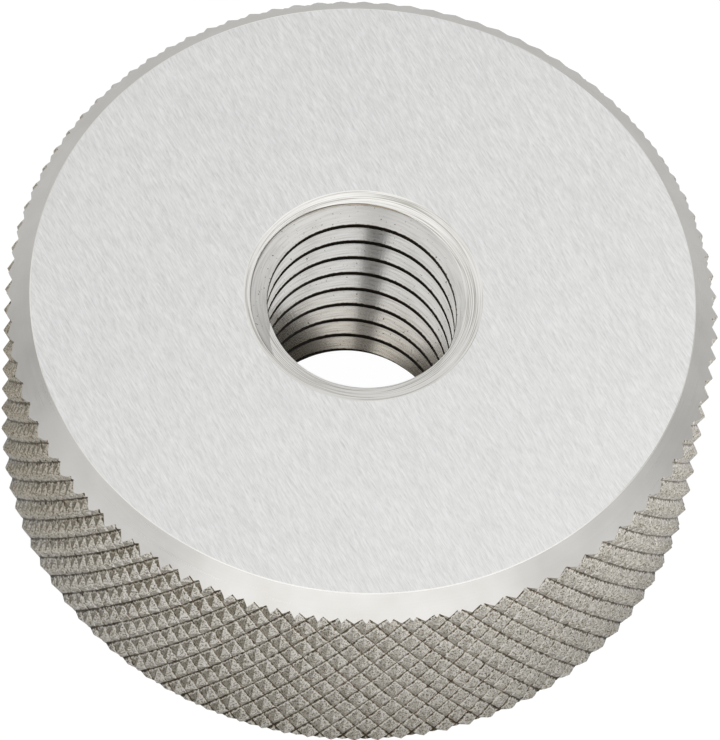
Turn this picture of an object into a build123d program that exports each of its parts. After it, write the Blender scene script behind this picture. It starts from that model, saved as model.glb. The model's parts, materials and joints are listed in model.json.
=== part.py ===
"""Solid GO thread ring gauge for M12 x 1.75, with a raised diamond knurl round its rim.

The gauge is one turned and hardened steel disc. Its origin is the centre of the lower face,
+Z runs up the bore, and all lengths are in millimetres. The bore is left at the size of the
thread's crests, as a threaded hole is drawn: the fine grooves between the crests are not cut.
"""

from build123d import *
import math
import os

# ---- Disc ----
outer_diameter = 38.0  # over the knurl's points
height = 16.5  # between the two ground faces
chamfer_width = 1.35  # rim chamfer, measured in from the knurl's points
chamfer_height = 1.45  # rim chamfer, measured along the axis

# ---- Threaded bore ----
thread_diameter = 12.0  # nominal, at the roots of the ring's thread
thread_pitch = 1.75
countersink_diameter = 12.7  # mouth of the lead-in cone on each face
countersink_angle = 110.0  # included angle of the lead-in cone

# ---- Knurl ----
right_hand_grooves = 93  # these lean to the right as they rise
left_hand_grooves = 96  # these lean to the left
knurl_helix_angle = 30.0  # of a groove from the axis
knurl_depth = 0.36  # from the points down to where grooves cross
right_hand_start = -0.15  # where a groove of each family passes mid-height, degrees from +X
left_hand_start = 0.61

# ---- Worked out from the sizes above ----
outer_radius = outer_diameter / 2
face_radius = outer_radius - chamfer_width
# A metric thread's crests and roots are 5/8 of the height of its sharp 60 degree V apart
sharp_thread_height = thread_pitch * math.sqrt(3) / 2
crest_radius = thread_diameter / 2 - 5 / 8 * sharp_thread_height
countersink_radius = countersink_diameter / 2
countersink_depth = (countersink_radius - crest_radius) / math.tan(math.radians(countersink_angle / 2))

os.makedirs("parts", exist_ok=True)


def knurl_prism():
    """A bar longer than the disc is high, whose side is the field of raised knurl points.

    Two families of V grooves cross on the side, one leaning each way. A place on it is known by
    how many grooves it lies past in each family: whole numbers are a crossing, at the bottom of
    two grooves, and halves are the point of a diamond. Each diamond is a low pyramid of four
    flat flanks between four crossings. Both ends of the bar are drawn in to a tip on the axis.
    """
    twist = math.tan(math.radians(knurl_helix_angle)) / outer_radius
    right_step = 2 * math.pi / right_hand_grooves
    left_step = 2 * math.pi / left_hand_grooves
    tip_height = outer_radius / 2

    def place(right, left, radius):
        """The position that lies this many grooves past the start of each family."""
        right_angle = math.radians(right_hand_start) + right * right_step
        left_angle = math.radians(left_hand_start) + left * left_step
        angle = (right_angle + left_angle) / 2
        rise = (left_angle - right_angle) / 2 / twist
        return Vector(radius * math.cos(angle), radius * math.sin(angle), height / 2 + rise)

    def crossing(right, left):
        """A crossing's name, which is the same after one whole turn."""
        turns = right // right_hand_grooves
        return right - turns * right_hand_grooves, left - turns * left_hand_grooves

    def left_count(right, rise):
        """How many left-hand grooves lie before a place at this rise above mid-height."""
        right_angle = math.radians(right_hand_start) + right * right_step
        return (2 * twist * rise + right_angle - math.radians(left_hand_start)) / left_step

    flanks = []
    edges = set()
    for right in range(right_hand_grooves):
        lowest = math.floor(left_count(right + 0.5, -height / 2) - 0.5)
        highest = math.ceil(left_count(right + 0.5, height / 2) - 0.5)
        for left in range(lowest, highest + 1):
            point = place(right + 0.5, left + 0.5, outer_radius)
            around = ((right, left), (right + 1, left), (right + 1, left + 1), (right, left + 1))
            for here, there in zip(around, around[1:] + around[:1]):
                flanks.append((place(*here, outer_radius - knurl_depth),
                               place(*there, outer_radius - knurl_depth), point))
                edges.add((crossing(*here), crossing(*there)))

    ends = []
    for here, there in edges:
        if (there, here) not in edges:
            start = place(*here, outer_radius - knurl_depth)
            stop = place(*there, outer_radius - knurl_depth)
            tip = Vector(0, 0, -tip_height if start.Z < height / 2 else height + tip_height)
            ends.append((stop, start, tip))
    return Solid(Shell([Face(Wire.make_polygon(corners)) for corners in flanks + ends]))


with BuildPart() as ring_gauge:
    # The turned blank: rim chamfers, ground faces, and a lead-in cone at each end of the bore
    with BuildSketch(Plane.XZ):
        with BuildLine():
            Polyline(
                (crest_radius, countersink_depth),
                (countersink_radius, 0),
                (face_radius, 0),
                (outer_radius, chamfer_height),
                (outer_radius, height - chamfer_height),
                (face_radius, height),
                (countersink_radius, height),
                (crest_radius, height - countersink_depth),
                close=True,
            )
        make_face()
    revolve(axis=Axis.Z)
    # The knurled side, whose grooves run out through the chamfers in a row of small teeth
    add(knurl_prism(), mode=Mode.INTERSECT)

ring_gauge.part.label = "ring_gauge"
export_step(ring_gauge.part, "parts/ring_gauge.step")
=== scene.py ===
"""Looks for the thread ring gauge: ground faces, satin chamfers, a turned countersink,
a shiny thread and a rough diamond knurl, on a white floor in soft studio light.
"""

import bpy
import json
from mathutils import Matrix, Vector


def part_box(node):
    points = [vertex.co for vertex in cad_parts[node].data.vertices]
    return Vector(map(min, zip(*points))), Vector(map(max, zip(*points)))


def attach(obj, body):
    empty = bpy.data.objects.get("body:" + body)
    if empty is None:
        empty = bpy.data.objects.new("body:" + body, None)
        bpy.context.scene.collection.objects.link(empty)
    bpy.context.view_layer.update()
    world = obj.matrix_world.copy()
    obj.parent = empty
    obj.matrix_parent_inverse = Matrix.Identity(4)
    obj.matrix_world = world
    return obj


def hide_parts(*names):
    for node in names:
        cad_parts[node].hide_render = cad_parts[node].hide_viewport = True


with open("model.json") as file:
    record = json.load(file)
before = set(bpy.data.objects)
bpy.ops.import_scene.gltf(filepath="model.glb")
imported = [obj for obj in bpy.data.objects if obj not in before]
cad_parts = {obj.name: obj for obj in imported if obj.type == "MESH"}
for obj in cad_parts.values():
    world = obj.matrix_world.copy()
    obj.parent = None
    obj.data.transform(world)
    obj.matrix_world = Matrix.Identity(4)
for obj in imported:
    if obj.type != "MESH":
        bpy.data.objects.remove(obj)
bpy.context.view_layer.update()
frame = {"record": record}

import json
import math

import bpy
import numpy as np
from mathutils import Matrix, Vector

MM = 0.001
NODE = "ring_gauge"

# ---- Sizes from the frame, in metres ----
low_corner, high_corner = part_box(NODE)
OUTER_RADIUS = (high_corner.x - low_corner.x) / 2
HEIGHT = high_corner.z - low_corner.z
thread_mount = next(m for m in frame["record"]["mounts"] if m["name"] == "thread")
CREST_RADIUS = thread_mount["dims"]["r_mm"] * MM
THREAD_LENGTH = thread_mount["dims"]["length_mm"] * MM

# ---- Turned form ----
CHAMFER_WIDTH = 1.35 * MM
CHAMFER_HEIGHT = 1.45 * MM
CHAMFER_SLOPE = CHAMFER_WIDTH / CHAMFER_HEIGHT
CHAMFER_EXCESS = 0.5 * MM  # how far down the blank's chamfers go on past the rim, to cut the knurl
FACE_RADIUS = OUTER_RADIUS - CHAMFER_WIDTH
COUNTERSINK_RADIUS = 6.35 * MM
COUNTERSINK_DEPTH = (HEIGHT - THREAD_LENGTH) / 2
COUNTERSINK_SLOPE = (COUNTERSINK_RADIUS - CREST_RADIUS) / COUNTERSINK_DEPTH
EDGE_BREAK = 0.035 * MM  # how deep the broken edges of the faces are
EDGE_BREAK_REACH = EDGE_BREAK * 0.6  # how far they reach into the faces
TURNED_SEGMENTS = 376

# ---- Thread ----
PITCH = 1.75 * MM
FLANK_ANGLE = math.radians(30)
ROOT_RADIUS = 6.0 * MM
ROOT_WIDTH = 0.35 * MM
ROOT_ROUNDING = 0.04 * MM  # of the two corners of the root
TOOL_OVERLAP = 0.3 * MM  # how far inside the crests the groove's cutting shape starts
GROOVE_START_DEPTH = 0.725 * MM  # of a groove's centre below the upper face, at the back of the bore
THREAD_SEGMENTS = 180

# ---- Knurl ----
RIGHT_HAND_GROOVES = 93
LEFT_HAND_GROOVES = 96
KNURL_ANGLE = math.radians(30)
KNURL_DEPTH = 0.36 * MM
RIGHT_HAND_START = math.radians(-0.15)  # where a groove of each family passes mid-height
LEFT_HAND_START = math.radians(0.61)
KNURL_STEPS = 4  # facets from groove to groove along each side of a point
KNURL_WEAR = 0.01 * MM  # unevenness of the points and grooves, always inwards
KNURL_STRAY_ANGLE = 0.0006  # how far the facets' corners stray round the rim, in radians
KNURL_STRAY_RISE = 0.012 * MM  # how far they stray up or down
WEAR_SEED = 12
AXIS_TIP = 8 * MM  # how far past the faces or the outermost turns the cutting shapes come to a point

# ---- How a face of the finished mesh is told to belong to a cone or a flat ----
FLAT_TOLERANCE = 0.001 * MM
CHAMFER_TOLERANCE = 0.02 * MM
COUNTERSINK_TOLERANCE = 0.03 * MM
CHAMFER_TILT_TOLERANCE = 0.15  # in the normal's Z, and so is the next one
COUNTERSINK_TILT_TOLERANCE = 0.02
CHAMFER_TILT = math.cos(math.atan2(CHAMFER_HEIGHT, CHAMFER_WIDTH))
COUNTERSINK_TILT = math.sin(math.atan(COUNTERSINK_SLOPE))
SHARP_ANGLE = math.radians(12)

# ---- Finish: places in millimetres, as the materials have them ----
GRINDING_ANGLE = math.radians(56)  # how far the streaks of the faces lean clockwise from +X
TOP = HEIGHT / MM
RIM = OUTER_RADIUS / MM
GROOVE_FLOOR = (OUTER_RADIUS - KNURL_DEPTH - KNURL_WEAR) / MM
CREST = CREST_RADIUS / MM
ROOT = ROOT_RADIUS / MM
LOWER_RIM_PAINTED_SHADE = (1.1, 2.6)  # heights between which the knurl's painted shade at the lower rim fades out
KNURL_LEFT = (-16.0, -9.0)  # X where the groove edges of the left side, widened into painted shade, fade out
KNURL_RIGHT = (4.0, 14.0)  # X where those of the right side set in
KNURL_PAINTED_LIGHT_EVENS_OUT = (-6.0, 9.0)  # X where the painted light and shade of the two sides of each point grow alike
SPREAD = (0.3, 0.7)  # between which most values of a noise lie
WHITE = (1, 1, 1)
BLACK = (0, 0, 0)

# ---- Camera ----
IMAGE_WIDTH, IMAGE_HEIGHT = 720, 740
FOCAL_PIXELS = 7540
CAMERA_DISTANCE = 399.4 * MM  # from the middle of the upper face
CAMERA_ELEVATION = math.radians(61.09)
CAMERA_ROLL = math.radians(6.43)
CAMERA_PAN = math.radians(0.026)
CAMERA_TILT = math.radians(0.57)
SENSOR = 36.0

# ---- Floor: lit paint, mixed with a plain white glow ----
FLOOR_REACH = 3.0
FLOOR_DROP = 0.01 * MM  # just clear of the gauge's lower face
FLOOR_COLOUR = (0.70, 0.70, 0.69)
GLOW_STRENGTH = 1.06
GLOW_TO_CAMERA = 0.93  # share of the glow in what the camera sees
GLOW_IN_STEEL = (0.0, 0.9)  # its share in reflections, of the floor beside the gauge and far away
GLOW_RADII = (18.0, 108.0)  # where that share begins and ends to grow, in millimetres from the axis

# ---- World: its strength grows with the Z of the direction that one looks in ----
SKY_HEIGHTS = (0.05, 0.65)
SKY_STRENGTHS = (0.54, 0.86)

# ---- Lamps and cards, in metres ----
TARGET = (0, 0, 0.01)  # what most of them face
OVER_FACE = (0.07, 0.035)
LEFT_OF_GAUGE = (-0.070, -0.012)
RIGHT_OF_GAUGE = (0.062, -0.035)
LYING = 0.0005  # height of a card that lies beside the gauge
SOFTBOXES = (  # name, place, what it faces, width and height, strength
    ("front_softbox", (0.08, -1.0, 0.47), TARGET, (1.8, 0.7), 0.95),
    ("left_softbox", (-1.0, -0.45, 0.38), TARGET, (0.9, 0.6), 0.5),
    ("right_softbox", (1.0, -0.40, 0.38), TARGET, (0.9, 0.6), 0.5),
    ("top_softbox", (*OVER_FACE, 0.22), (*OVER_FACE, 0), (0.14, 0.13), 0.5),
    ("back_softbox", (0, 1.0, 0.25), TARGET, (0.6, 0.4), 0.55),
)
CARDS = (  # name, place, what it faces, width and height, colour
    # the brownish card lying at the left is painted shade: it stands in for the shaded floor there, seen
    # only in the steel
    ("left_painted_shade_card", (*LEFT_OF_GAUGE, LYING), (*LEFT_OF_GAUGE, 1), (0.10, 0.066), (0.52, 0.49, 0.43)),
    ("far_card", (0.255, 0.14, 0.022), TARGET, (0.07, 0.045), (0.5, 0.48, 0.45)),
    ("right_card", (*RIGHT_OF_GAUGE, LYING), (*RIGHT_OF_GAUGE, 1), (0.08, 0.10), (0.95, 0.94, 0.92)),
)
CAMERA_BODY_OFFSET = (0.012, 0, 0.03)  # to the right of the camera and behind it
CAMERA_BODY_SIZE = (0.095, 0.085)
CAMERA_BODY_COLOUR = (0.05, 0.045, 0.04)


# ---- Shape ----

def new_mesh(name, vertices, faces):
    """A mesh object from a list of points and a list of faces."""
    mesh = bpy.data.meshes.new(name)
    mesh.from_pydata([tuple(v) for v in vertices], [], faces)
    mesh.validate()
    mesh.update()
    thing = bpy.data.objects.new(name, mesh)
    bpy.context.scene.collection.objects.link(thing)
    return thing


def new_sheet(name, width, height, level=0.0):
    """A flat rectangle round the Z axis."""
    w, h = width / 2, height / 2
    return new_mesh(name, [(-w, -h, level), (w, -h, level), (w, h, level), (-w, h, level)], [(0, 1, 2, 3)])


def revolved(name, profile, segments):
    """A closed solid of revolution about Z, from a closed outline of (radius, height) points."""
    count = len(profile)
    angles = np.arange(segments) * 2 * math.pi / segments
    vertices = [(r * math.cos(a), r * math.sin(a), z) for a in angles for r, z in profile]
    faces = []
    for s in range(segments):
        here = s * count
        there = (s + 1) % segments * count
        for p in range(count):
            q = (p + 1) % count
            faces.append((here + p, there + p, there + q, here + q))
    return new_mesh(name, vertices, faces)


def turned_blank():
    """The disc as it leaves the lathe: bore at crest size, lead-in cones, rim chamfers and broken edges."""
    half = [
        (CREST_RADIUS, COUNTERSINK_DEPTH),
        (COUNTERSINK_RADIUS - EDGE_BREAK * COUNTERSINK_SLOPE, EDGE_BREAK),
        (COUNTERSINK_RADIUS + EDGE_BREAK_REACH, 0),
        (FACE_RADIUS - EDGE_BREAK_REACH, 0),
        (FACE_RADIUS + EDGE_BREAK * CHAMFER_SLOPE, EDGE_BREAK),
        (OUTER_RADIUS + CHAMFER_EXCESS * CHAMFER_SLOPE, CHAMFER_HEIGHT + CHAMFER_EXCESS),
    ]
    upper = [(r, HEIGHT - z) for r, z in reversed(half)]
    return revolved("blank", half + upper, TURNED_SEGMENTS)


def close_with_fans(vertices, faces, low_tip, high_tip):
    """Closes both open ends of a tube of faces with a fan from each open edge to a point on the axis."""
    edges = {(face[k], face[(k + 1) % len(face)]) for face in faces for k in range(len(face))}
    tips = len(vertices)
    vertices += [(0, 0, low_tip), (0, 0, high_tip)]
    middle = (low_tip + high_tip) / 2
    for a, b in sorted(edges):
        if (b, a) not in edges:
            faces.append((b, a, tips + (vertices[a][2] > middle)))


def knurl_prism():
    """A prism taller than the disc whose side carries both families of V grooves.

    A place on the side is known by how many grooves it lies past in each family. The cells
    between the grooves are the knurl's points, each divided into small facets that follow the
    groove bottoms and the ridges, and worn a little unevenly.
    """
    steps = KNURL_STEPS
    twist = math.tan(KNURL_ANGLE) / OUTER_RADIUS
    right_step = 2 * math.pi / RIGHT_HAND_GROOVES
    left_step = 2 * math.pi / LEFT_HAND_GROOVES
    wear = np.random.default_rng(WEAR_SEED)
    vertices = []
    index = {}

    def corner(right, left):
        """The vertex that lies right/steps and left/steps grooves past the start of each family."""
        turns = right // (RIGHT_HAND_GROOVES * steps)
        key = (right - turns * RIGHT_HAND_GROOVES * steps, left - turns * LEFT_HAND_GROOVES * steps)
        if key not in index:
            u, v = key[0] / steps, key[1] / steps
            right_angle = RIGHT_HAND_START + u * right_step
            left_angle = LEFT_HAND_START + v * left_step
            inward = max(abs(u % 1 - 0.5), abs(v % 1 - 0.5)) * 2
            angle = (right_angle + left_angle) / 2 + wear.normal(0, KNURL_STRAY_ANGLE)
            rise = (left_angle - right_angle) / 2 / twist + wear.normal(0, KNURL_STRAY_RISE)
            radius = OUTER_RADIUS - KNURL_DEPTH * inward - KNURL_WEAR * wear.random()
            index[key] = len(vertices)
            vertices.append((radius * math.cos(angle), radius * math.sin(angle), HEIGHT / 2 + rise))
        return index[key]

    def left_count(right, rise):
        """How many left-hand grooves lie before a place at this rise above mid-height."""
        right_angle = RIGHT_HAND_START + right * right_step
        return (2 * twist * rise + right_angle - LEFT_HAND_START) / left_step

    faces = []
    for i in range(RIGHT_HAND_GROOVES):
        lowest = math.floor(left_count(i + 0.5, -HEIGHT / 2) - 0.5)
        highest = math.ceil(left_count(i + 0.5, HEIGHT / 2) - 0.5)
        for j in range(lowest, highest + 1):
            for a in range(steps):
                for b in range(steps):
                    p = corner(i * steps + a, j * steps + b)
                    q = corner(i * steps + a + 1, j * steps + b)
                    r = corner(i * steps + a + 1, j * steps + b + 1)
                    s = corner(i * steps + a, j * steps + b + 1)
                    if (a < steps / 2) == (b < steps / 2):
                        faces += [(p, q, r), (p, r, s)]
                    else:
                        faces += [(p, q, s), (q, r, s)]
    close_with_fans(vertices, faces, -AXIS_TIP, HEIGHT + AXIS_TIP)
    return new_mesh("knurl", vertices, faces)


def thread_tool():
    """The material that the thread's groove takes away: a screw whose ridge has slightly broken corners."""
    flank = math.tan(FLANK_ANGLE)
    inside = CREST_RADIUS - TOOL_OVERLAP
    half_root = ROOT_WIDTH / 2
    half_crest = half_root + (ROOT_RADIUS - CREST_RADIUS) * flank
    half = [
        (inside, half_crest + (CREST_RADIUS - inside) * flank),
        (CREST_RADIUS, half_crest),
        (ROOT_RADIUS - ROOT_ROUNDING, half_root + ROOT_ROUNDING * flank),
        (ROOT_RADIUS, half_root - ROOT_ROUNDING / 2),
    ]
    profile = [(inside, -PITCH / 2)] + [(r, -z) for r, z in half] + [(r, z) for r, z in reversed(half)]
    turns = math.ceil(HEIGHT / PITCH) + 3
    top_turn = turns - 2  # its groove is the first one below the upper face
    quarter_rise = PITCH / 4  # from +X, where the screw starts, to the back of the bore
    first_centre = HEIGHT - GROOVE_START_DEPTH - quarter_rise - top_turn * PITCH
    count = len(profile)
    steps = turns * THREAD_SEGMENTS
    vertices = []
    for k in range(steps + THREAD_SEGMENTS + 1):
        angle = k * 2 * math.pi / THREAD_SEGMENTS
        rise = first_centre + PITCH * k / THREAD_SEGMENTS
        points = profile if k <= steps else profile[:1]
        for r, z in points:
            vertices.append((r * math.cos(angle), r * math.sin(angle), rise + z))

    def corner(k, p):
        """Point p of the profile at step k: past the last one comes the first of the next turn."""
        if p == count:
            k, p = k + THREAD_SEGMENTS, 0
        if k <= steps:
            return k * count + p
        return (steps + 1) * count + (k - steps - 1)

    faces = []
    for k in range(steps):
        for p in range(count):
            faces.append((corner(k, p), corner(k + 1, p), corner(k + 1, p + 1), corner(k, p + 1)))
    close_with_fans(vertices, faces, first_centre - AXIS_TIP, first_centre + turns * PITCH + AXIS_TIP)
    return new_mesh("groove", vertices, faces)


def combine(thing, tool, operation):
    """Applies a Boolean of thing with tool, and deletes tool."""
    step = thing.modifiers.new("combine", "BOOLEAN")
    step.operation = operation
    step.object = tool
    step.solver = "MANIFOLD"
    depsgraph = bpy.context.evaluated_depsgraph_get()
    mesh = bpy.data.meshes.new_from_object(thing.evaluated_get(depsgraph))
    thing.modifiers.clear()
    thing.data = mesh
    bpy.data.objects.remove(tool)
    return thing


def gauge_body():
    """The whole gauge as one closed mesh."""
    body = combine(turned_blank(), knurl_prism(), "INTERSECT")
    body = combine(body, thread_tool(), "DIFFERENCE")
    body.name = "gauge_body"
    body.data.name = "gauge_body"
    return body


# ---- Materials ----

class Nodes:
    """A node tree as it is put together."""

    def __init__(self, tree):
        self.tree = tree

    def add(self, kind, inputs=None, **settings):
        """A node with its settings and inputs: a socket is linked, and a value is stored."""
        node = self.tree.nodes.new("ShaderNode" + kind)
        for name, value in settings.items():
            setattr(node, name, value)
        for name, value in (inputs or {}).items():
            if isinstance(value, bpy.types.NodeSocket):
                self.tree.links.new(value, node.inputs[name])
            else:
                node.inputs[name].default_value = value
        return node

    def output(self, result, output_node):
        """Sends the result to the surface of the material or world."""
        self.tree.links.new(result, self.tree.nodes[output_node].inputs["Surface"])

    def math(self, operation, a, b=0.0):
        """One step of arithmetic."""
        return self.add("Math", {0: a, 1: b}, operation=operation).outputs[0]

    def vector_math(self, operation, a, b=(0, 0, 0)):
        """One step of arithmetic on vectors."""
        return self.add("VectorMath", {0: a, 1: b}, operation=operation).outputs["Vector"]

    def remap(self, value, reach, result):
        """The value brought from the reach to the result, and held at its ends beyond them."""
        ends = ("From Min", "From Max", "To Min", "To Max")
        return self.add("MapRange", {"Value": value, **dict(zip(ends, (*reach, *result)))}).outputs[0]


class Finish(Nodes):
    """A node material as it is put together: its tree, its shader, and the steps that colour it."""

    def __init__(self, name, metallic=1.0):
        self.material = bpy.data.materials.new(name)
        self.material.use_nodes = True
        super().__init__(self.material.node_tree)
        self.shader = self.tree.nodes["Principled BSDF"]
        self.shader.inputs["Metallic"].default_value = metallic

    def point(self):
        """The place on the piece, in millimetres."""
        where = self.add("TexCoord").outputs["Object"]
        return self.add("Mapping", {"Vector": where, "Scale": (1 / MM,) * 3}).outputs[0]

    def split(self, name):
        """The X, Y or Z of the place on the piece, in millimetres."""
        return self.add("SeparateXYZ", {0: self.point()}).outputs[name]

    def flat_point(self):
        """The place on the piece without its height, in millimetres."""
        return self.vector_math("MULTIPLY", self.point(), (1, 1, 0))

    def length(self, vector):
        """How long the vector is."""
        return self.add("VectorMath", {0: vector}, operation="LENGTH").outputs["Value"]

    def radius(self):
        """The distance from the axis, in millimetres."""
        return self.length(self.flat_point())

    def lean(self):
        """How far the surface faces the way that angles grow round the axis."""
        where = self.add("TexCoord")
        onward = self.vector_math("CROSS_PRODUCT", (0, 0, 1), where.outputs["Object"])
        inputs = {0: self.vector_math("NORMALIZE", onward), 1: where.outputs["Normal"]}
        return self.add("VectorMath", inputs, operation="DOT_PRODUCT").outputs["Value"]

    def around(self, lines, arcs):
        """A place for turning marks: lines per millimetre of radius, and arcs round the circle."""
        flat = self.flat_point()
        spread = self.vector_math("MULTIPLY", self.vector_math("NORMALIZE", flat), (arcs, arcs, 0))
        across = self.add("CombineXYZ", {"Z": self.math("MULTIPLY", self.length(flat), lines)}).outputs[0]
        return self.vector_math("ADD", spread, across)

    def stretched(self, place, along, across):
        """A place for streaks along X: how fast their noise changes along and across them."""
        return self.add("Mapping", {"Vector": place, "Scale": (along, across, 1.0)}).outputs[0]

    def noise(self, place, scale=1.0, detail=2.0, roughness=0.5):
        """Cloudy values, most of them within SPREAD."""
        inputs = {"Vector": place, "Scale": scale, "Detail": detail, "Roughness": roughness}
        return self.add("TexNoise", inputs).outputs["Fac"]

    def ramp(self, value, stops):
        """Colours read off at the value."""
        node = self.add("ValToRGB", {"Fac": value})
        elements = node.color_ramp.elements
        while len(elements) < len(stops):
            elements.new(0.5)
        for element, (place, colour) in zip(elements, stops):
            element.position = place
            element.color = (*colour, 1)
        return node.outputs["Color"]

    def vary(self, noise, dark, light):
        """Colours from dark to light, by a noise."""
        return self.ramp(noise, [(SPREAD[0], dark), (SPREAD[1], light)])

    def blend(self, kind, share, a, b):
        """Colour b laid over colour a."""
        return self.add("Mix", {0: share, 6: a, 7: b}, data_type="RGBA", blend_type=kind).outputs[2]

    def darken(self, colour, by):
        """The colour times another."""
        return self.blend("MULTIPLY", 1.0, colour, by)

    def bump(self, height, strength, distance, under=None):
        """Relief as deep as the distance, in millimetres, over what lies under it."""
        inputs = {"Height": height, "Strength": strength, "Distance": distance * MM}
        if under:
            inputs["Normal"] = under
        return self.add("Bump", inputs).outputs[0]

    def finish(self, colour, roughness, normal):
        """Sends the three results to the shader."""
        self.tree.links.new(colour, self.shader.inputs["Base Color"])
        self.tree.links.new(roughness, self.shader.inputs["Roughness"])
        self.tree.links.new(normal, self.shader.inputs["Normal"])
        return self.material


def ground_steel():
    """Flat faces: surface-ground, with fine slanting streaks over a faint mottle."""
    steel = Finish("ground_steel")
    slanted = steel.add("Mapping", {"Vector": steel.point(), "Rotation": (0, 0, GRINDING_ANGLE)}).outputs[0]
    streaks = steel.noise(steel.stretched(slanted, along=1.5, across=11.0), detail=3.0, roughness=0.6)
    scratches = steel.noise(steel.stretched(slanted, along=2.6, across=27.0), detail=1.0)
    mottle = steel.noise(steel.point(), scale=0.22)
    colour = steel.vary(streaks, (0.705, 0.705, 0.696), (0.862, 0.862, 0.855))
    scratched = steel.ramp(scratches, [
        (0.30, (0.88, 0.88, 0.875)),
        (0.45, (0.97, 0.97, 0.97)),
        (0.70, WHITE),
    ])
    colour = steel.darken(colour, scratched)
    colour = steel.darken(colour, steel.vary(mottle, (0.98, 0.98, 0.983), WHITE))
    rough = steel.remap(streaks, SPREAD, (0.36, 0.46))
    return steel.finish(colour, rough, steel.bump(streaks, strength=0.12, distance=0.01))


def satin_steel():
    """Rim chamfers: fine-turned to an even satin."""
    steel = Finish("satin_steel")
    rings = steel.noise(steel.around(lines=11.0, arcs=3.0), detail=3.0, roughness=0.6)
    cloud = steel.noise(steel.point(), scale=0.5)
    colour = steel.vary(cloud, (0.530, 0.517, 0.493), (0.570, 0.562, 0.544))
    colour = steel.darken(colour, steel.vary(rings, (0.96, 0.96, 0.96), WHITE))
    rough = steel.remap(rings, SPREAD, (0.27, 0.33))
    return steel.finish(colour, rough, steel.bump(rings, strength=0.08, distance=0.01))


def groove_depth(steel, grain):
    """How deep in the knurl a place lies, made uneven: about 0 on the points and 1 in the grooves.

    The grooves' edges are uneven, and towards the left and right they are widened into painted shade, as
    the photograph shows them.
    """
    depth = steel.remap(steel.radius(), (GROOVE_FLOOR, RIM), (1.0, 0.0))
    depth = steel.math("ADD", depth, steel.remap(grain, SPREAD, (-0.07, 0.07)))
    # painted shade: towards the lower rim the knurl reads deeper, so the dark of its grooves reaches wider
    depth = steel.math("ADD", depth, steel.remap(steel.split("Z"), LOWER_RIM_PAINTED_SHADE, (0.08, 0.0)))
    # painted shade: towards the left and right the dark of the grooves reaches wider, shading the ends of
    # the crossing grooves
    right = steel.remap(steel.split("X"), KNURL_RIGHT, (0.04, 0.12))
    left = steel.remap(steel.split("X"), KNURL_LEFT, (0.17, 0.0))
    side_shade_widening = steel.math("ADD", right, left)
    crumbs = steel.noise(steel.point(), scale=4.2, detail=1.0)
    return steel.math("ADD", depth, steel.remap(crumbs, (0.34, 0.58), (side_shade_widening, -0.05)))


def knurled_steel():
    """The rolled knurl: a painted highlight along the grooves' edges, and old oil and dirt with painted
    shade dark in them.

    At the left the side of each point that faces onward round the rim is painted lit and the other
    painted in shade, and further right the two grow alike, as the photograph shows them.
    """
    steel = Finish("knurled_steel")
    grain = steel.noise(steel.point(), scale=9.0, detail=3.0, roughness=0.65)
    specks = steel.noise(steel.point(), scale=16.0, detail=1.0)
    patches = steel.noise(steel.point(), scale=1.6, detail=3.0, roughness=0.6)
    # painted light and shade: a lit colour for the facets that face onward round the rim, a shaded one for
    # the others
    painted_lit_facet = steel.vary(patches, (0.66, 0.635, 0.59), (0.83, 0.81, 0.775))
    painted_shaded_facet = steel.vary(patches, (0.30, 0.27, 0.215), (0.44, 0.42, 0.375))
    lit_share_on_shaded_side = steel.remap(steel.split("X"), KNURL_PAINTED_LIGHT_EVENS_OUT, (0.0, 0.88))
    lit_share_on_lit_side = steel.remap(steel.split("X"), KNURL_PAINTED_LIGHT_EVENS_OUT, (1.0, 0.92))
    share = steel.remap(steel.lean(), (-0.12, 0.12), (lit_share_on_shaded_side, lit_share_on_lit_side))
    colour = steel.blend("MIX", share, painted_shaded_facet, painted_lit_facet)
    grained = steel.ramp(grain, [
        (0.36, (0.30, 0.26, 0.19)),
        (0.50, (0.88, 0.87, 0.84)),
        (0.60, WHITE),
    ])
    colour = steel.darken(colour, grained)
    colour = steel.darken(colour, steel.ramp(specks, [(0.32, (0.12, 0.10, 0.07)), (0.40, WHITE)]))
    depth = groove_depth(steel, grain)
    # painted highlight: a bright band along the grooves' edges
    groove_edge_highlight_share = (0.85, 0.85, 0.85)
    groove_edge_highlight = steel.ramp(depth, [(0.74, BLACK), (0.80, groove_edge_highlight_share), (0.84, groove_edge_highlight_share), (0.88, BLACK)])
    colour = steel.blend("MIX", groove_edge_highlight, colour, (0.84, 0.82, 0.78, 1))
    # old oil and dirt with painted shade: the grooves darken towards their bottoms
    dirt_and_painted_shade = steel.ramp(depth, [
        (0.86, WHITE),
        (0.92, (0.50, 0.43, 0.33)),
        (0.99, (0.11, 0.085, 0.055)),
    ])
    colour = steel.darken(colour, dirt_and_painted_shade)
    rough = steel.remap(grain, SPREAD, (0.42, 0.27))
    coarse = steel.bump(patches, strength=0.2, distance=0.05)
    return steel.finish(colour, rough, steel.bump(grain, strength=0.5, distance=0.03, under=coarse))


def turned_steel():
    """Lead-in cones and broken edges: bright turned rings."""
    steel = Finish("turned_steel", metallic=0.7)
    rings = steel.noise(steel.around(lines=17.0, arcs=1.3), roughness=0.6)
    colour = steel.ramp(rings, [
        (0.37, (0.53, 0.52, 0.48)),
        (0.46, (0.79, 0.78, 0.75)),
        (0.60, (0.92, 0.91, 0.885)),
    ])
    rough = steel.remap(rings, SPREAD, (0.74, 0.60))
    return steel.finish(colour, rough, steel.bump(rings, strength=0.25, distance=0.02))


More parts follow.
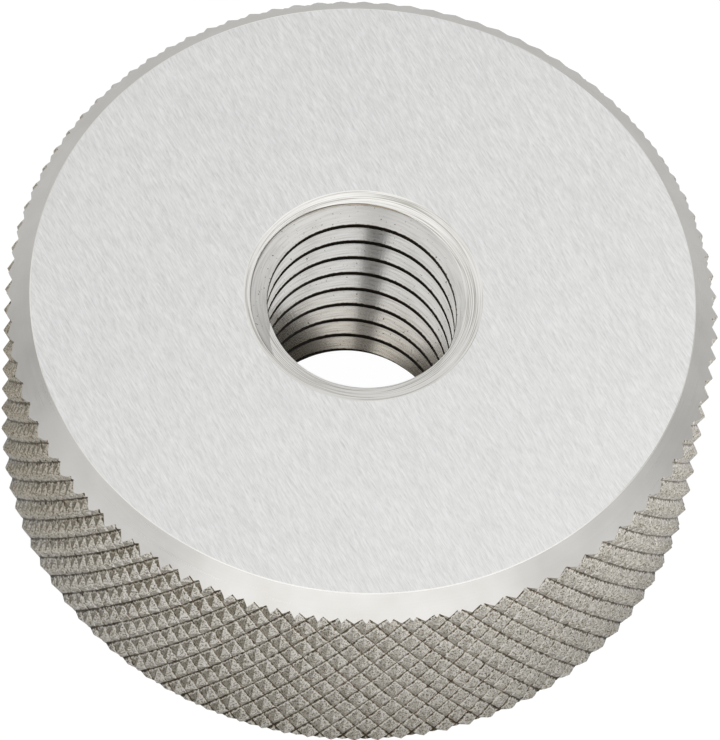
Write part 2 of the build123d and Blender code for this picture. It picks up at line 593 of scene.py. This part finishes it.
def thread_steel():
    """The thread: shiny flanks with turning lines and small pits, crests painted dark as a reflection of
    the shaded bore, and roots dark with dirt and painted shade.

    Near the upper mouth its roots carry less painted shade and its flanks are duller. Its lower turns are
    tinted darker and warmer.
    """
    steel = Finish("thread_steel")
    rings = steel.noise(steel.around(lines=12.0, arcs=3.0), roughness=0.6)
    pits = steel.noise(steel.point(), scale=7.0)
    colour = steel.ramp(rings, [
        (0.32, (0.61, 0.60, 0.57)),
        (0.50, (0.71, 0.70, 0.675)),
        (0.68, (0.76, 0.755, 0.735)),
    ])
    colour = steel.darken(colour, steel.ramp(pits, [(0.25, (0.15, 0.12, 0.08)), (0.31, WHITE)]))
    # painted reflection and shade: the crests are painted dark, and the roots dark with dirt and painted
    # shade, lighter near the upper mouth
    radius = steel.math("ADD", steel.radius(), steel.remap(pits, SPREAD, (-0.012, 0.012)))
    off_crest = steel.remap(radius, (CREST + 0.015, CREST + 0.035), (0.0, 1.0))
    off_root = steel.remap(radius, (ROOT - 0.06, ROOT - 0.03), (1.0, 0.0))
    at_mouth = steel.remap(steel.split("Z"), (TOP - 1.3, TOP - 0.6), (0.0, 0.88))
    clean_and_lit = steel.math("MULTIPLY", off_crest, steel.math("MAXIMUM", off_root, at_mouth))
    dirt_and_painted_shade = steel.ramp(clean_and_lit, [
        (0.0, (0.06, 0.045, 0.03)),
        (0.5, (0.38, 0.33, 0.26)),
        (1.0, WHITE),
    ])
    colour = steel.darken(colour, dirt_and_painted_shade)
    # darker and warmer towards the bottom of the bore
    low_turn_tint = steel.remap(steel.split("Z"), (1.5, 9.0), (0.9, 0.0))
    colour = steel.blend("MULTIPLY", low_turn_tint, colour, (0.92, 0.86, 0.77, 1))
    scuffed = steel.remap(steel.split("Z"), (TOP - 2.6, TOP - 1.4), (0.0, 0.15))
    rough = steel.math("ADD", steel.remap(rings, SPREAD, (0.22, 0.14)), scuffed)
    return steel.finish(colour, rough, steel.bump(rings, strength=0.12, distance=0.01))


def finish_of(face):
    """The function that makes a face's material, chosen by where the face lies and how it tilts."""
    radius = math.hypot(face.center.x, face.center.y)
    depth = min(face.center.z, HEIGHT - face.center.z)
    if depth < FLAT_TOLERANCE:
        return ground_steel
    if depth < EDGE_BREAK:
        return turned_steel
    if radius > FACE_RADIUS - EDGE_BREAK:
        off_cone = abs(radius - FACE_RADIUS - depth * CHAMFER_SLOPE)
        tilt = abs(abs(face.normal.z) - CHAMFER_TILT)
        on_cone = off_cone < CHAMFER_TOLERANCE and tilt < CHAMFER_TILT_TOLERANCE
        return satin_steel if on_cone else knurled_steel
    off_cone = abs(radius - COUNTERSINK_RADIUS + depth * COUNTERSINK_SLOPE)
    tilt = abs(abs(face.normal.z) - COUNTERSINK_TILT)
    on_cone = off_cone < COUNTERSINK_TOLERANCE and tilt < COUNTERSINK_TILT_TOLERANCE
    return turned_steel if on_cone else thread_steel


def dress(body):
    """Gives each region of the gauge its finish, and smooth shading up to its real edges."""
    finishes = (ground_steel, satin_steel, knurled_steel, turned_steel, thread_steel)
    body.data.materials.clear()
    for make in finishes:
        body.data.materials.append(make())
    for face in body.data.polygons:
        face.material_index = finishes.index(finish_of(face))
    body.data.shade_smooth()
    body.data.set_sharp_from_angle(angle=SHARP_ANGLE)


# ---- Camera, floor and light ----

def add_camera():
    """The camera, at the photograph's angle and distance."""
    lens = bpy.data.cameras.new("camera")
    lens.sensor_fit = "AUTO"
    lens.sensor_width = SENSOR
    lens.lens = FOCAL_PIXELS / max(IMAGE_WIDTH, IMAGE_HEIGHT) * SENSOR
    lens.clip_start = 0.01
    lens.clip_end = 20
    camera = bpy.data.objects.new("camera", lens)
    bpy.context.scene.collection.objects.link(camera)
    aim = Vector((0, 0, HEIGHT))
    back = Vector((0, -math.cos(CAMERA_ELEVATION), math.sin(CAMERA_ELEVATION)))
    right = Vector((1, 0, 0))
    up = back.cross(right)
    upright = Matrix((right, up, back)).transposed().to_4x4()
    roll = Matrix.Rotation(CAMERA_ROLL, 4, "Z")
    pan = Matrix.Rotation(CAMERA_PAN, 4, "Y")
    tilt = Matrix.Rotation(-CAMERA_TILT, 4, "X")
    place = Matrix.Translation(aim + back * CAMERA_DISTANCE)
    camera.matrix_world = place @ upright @ (roll @ pan @ tilt)
    bpy.context.scene.camera = camera
    return camera


def painted(name, colour, roughness):
    """A plain paint."""
    paint = Finish(name, metallic=0.0)
    paint.shader.inputs["Base Color"].default_value = (*colour, 1)
    paint.shader.inputs["Roughness"].default_value = roughness
    return paint


def add_floor():
    """A white floor that glows to the camera and in the steel, but keeps the gauge's soft shadow."""
    floor = new_sheet("floor", 2 * FLOOR_REACH, 2 * FLOOR_REACH, -FLOOR_DROP)
    white = painted("floor_white", FLOOR_COLOUR, roughness=0.9)
    glow = white.add("Emission", {"Strength": GLOW_STRENGTH})
    path = white.add("LightPath").outputs
    in_steel = white.remap(white.radius(), GLOW_RADII, GLOW_IN_STEEL)
    bounced = white.math("MAXIMUM", path["Is Glossy Ray"], path["Is Transmission Ray"])
    mirrored = white.math("MULTIPLY", bounced, in_steel)
    seen = white.math("MULTIPLY", path["Is Camera Ray"], GLOW_TO_CAMERA)
    share = white.math("MAXIMUM", seen, mirrored)
    mix = white.add("MixShader", {0: share, 1: white.shader.outputs[0], 2: glow.outputs[0]})
    white.output(mix.outputs[0], "Material Output")
    floor.data.materials.append(white.material)


def add_card(name, place, aim, size, colour):
    """A flat card facing aim, which shows only in reflections."""
    card = new_sheet(name, *size)
    card.data.materials.append(painted(name, colour, roughness=0.8).material)
    card.visible_camera = False
    card.visible_diffuse = False
    card.visible_shadow = False
    card.location = place
    card.rotation_euler = (Vector(place) - Vector(aim)).to_track_quat("Z", "Y").to_euler()


def add_softbox(name, place, aim, size, strength):
    """A rectangular area lamp facing aim. Its strength sets how bright its surface is, at any size."""
    lamp = bpy.data.lights.new(name, "AREA")
    lamp.shape = "RECTANGLE"
    lamp.size, lamp.size_y = size
    lamp.energy = strength * math.pi * size[0] * size[1]
    box = bpy.data.objects.new(name, lamp)
    bpy.context.scene.collection.objects.link(box)
    box.location = place
    box.rotation_euler = (Vector(aim) - Vector(place)).to_track_quat("-Z", "Y").to_euler()


def add_world():
    """A white studio, brighter overhead, that the camera sees as plain white."""
    world = bpy.data.worlds.new("studio")
    bpy.context.scene.world = world
    world.use_nodes = True
    sky = Nodes(world.node_tree)
    up = sky.add("SeparateXYZ", {0: sky.add("TexCoord").outputs["Generated"]}).outputs["Z"]
    strength = sky.remap(up, SKY_HEIGHTS, SKY_STRENGTHS)
    studio = sky.add("Background", {"Color": (*WHITE, 1), "Strength": strength})
    plain = sky.add("Background", {"Color": (*WHITE, 1), "Strength": 1.0})
    to_camera = sky.add("LightPath").outputs["Is Camera Ray"]
    mix = sky.add("MixShader", {0: to_camera, 1: studio.outputs[0], 2: plain.outputs[0]})
    sky.output(mix.outputs[0], "World Output")


bpy.context.scene.view_settings.view_transform = "Standard"
camera = add_camera()
add_floor()
add_world()
for softbox in SOFTBOXES:
    add_softbox(*softbox)
camera_body_place = camera.matrix_world @ Vector(CAMERA_BODY_OFFSET)
add_card("camera_body", camera_body_place, TARGET, CAMERA_BODY_SIZE, CAMERA_BODY_COLOUR)
for card in CARDS:
    add_card(*card)

body = gauge_body()
dress(body)
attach(body, "root")
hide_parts(NODE)
